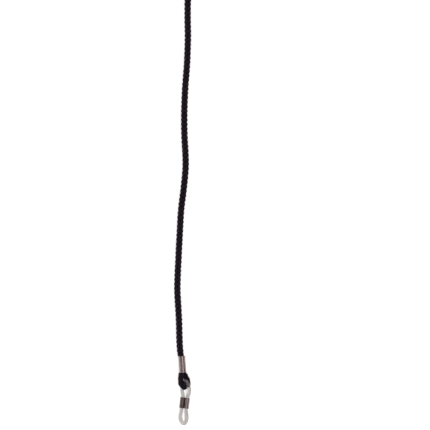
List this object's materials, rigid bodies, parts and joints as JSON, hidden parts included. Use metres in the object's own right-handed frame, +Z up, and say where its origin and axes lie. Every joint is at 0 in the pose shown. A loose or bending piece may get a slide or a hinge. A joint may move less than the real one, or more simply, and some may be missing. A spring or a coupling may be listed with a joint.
{
  "type": "eyeglass retainer strap",
  "caption": "Braided eyeglass strap: each cord end is crimped into a small loop that holds a rubber ring with a sliding bead; spare cord lies folded in a tied hank.",
  "frame": {"origin": "midway between the tips of the two rubber rings, on the table that the strap lies on", "axes": "+Y along the strap from its front end to its rear end, +Z up from the table, +X to the right of the strap seen from above"},
  "size_m": [0.0206, 0.3112, 0.0074],
  "materials": {
    "cord": "round braid of shiny black synthetic yarn",
    "crimp": "bright nickel plate",
    "rubber": "smooth translucent silicone",
    "bead": "dark gunmetal plate",
    "tie": "plastic-coated wire tie"
  },
  "bodies": {
    "strap": {"cord_run": "cord", "cord_hank": "cord", "cord_lead_out": "cord", "hank_tie": "tie", "front_cord_loop": "cord", "front_crimp_sleeve": "crimp", "rear_cord_loop": "cord", "rear_crimp_sleeve": "crimp"},
    "front_ring": {"front_rubber_ring": "rubber"},
    "front_bead": {"front_slider_bead": "bead"},
    "rear_ring": {"rear_rubber_ring": "rubber"},
    "rear_bead": {"rear_slider_bead": "bead"}
  },
  "joints": [
    {"name": "front_ring_swing", "type": "hinge", "parent": "strap", "child": "front_ring", "pos_m": [-0.0001, -0.13477, 0], "axis": [0, 0, 1], "range_deg": [-20, 20]},
    {"name": "front_bead_slide", "type": "slide", "parent": "front_ring", "child": "front_bead", "axis": [-0.1132, -0.9936, 0], "range_m": [-0.002, 0.004], "deforming": ["front_rubber_ring"]},
    {"name": "rear_ring_swing", "type": "hinge", "parent": "strap", "child": "rear_ring", "pos_m": [0.0001, 0.13477, 0], "axis": [0, 0, 1], "range_deg": [-20, 20]},
    {"name": "rear_bead_slide", "type": "slide", "parent": "rear_ring", "child": "rear_bead", "axis": [0.1132, 0.9936, 0], "range_m": [-0.002, 0.004], "deforming": ["rear_rubber_ring"]}
  ]
}
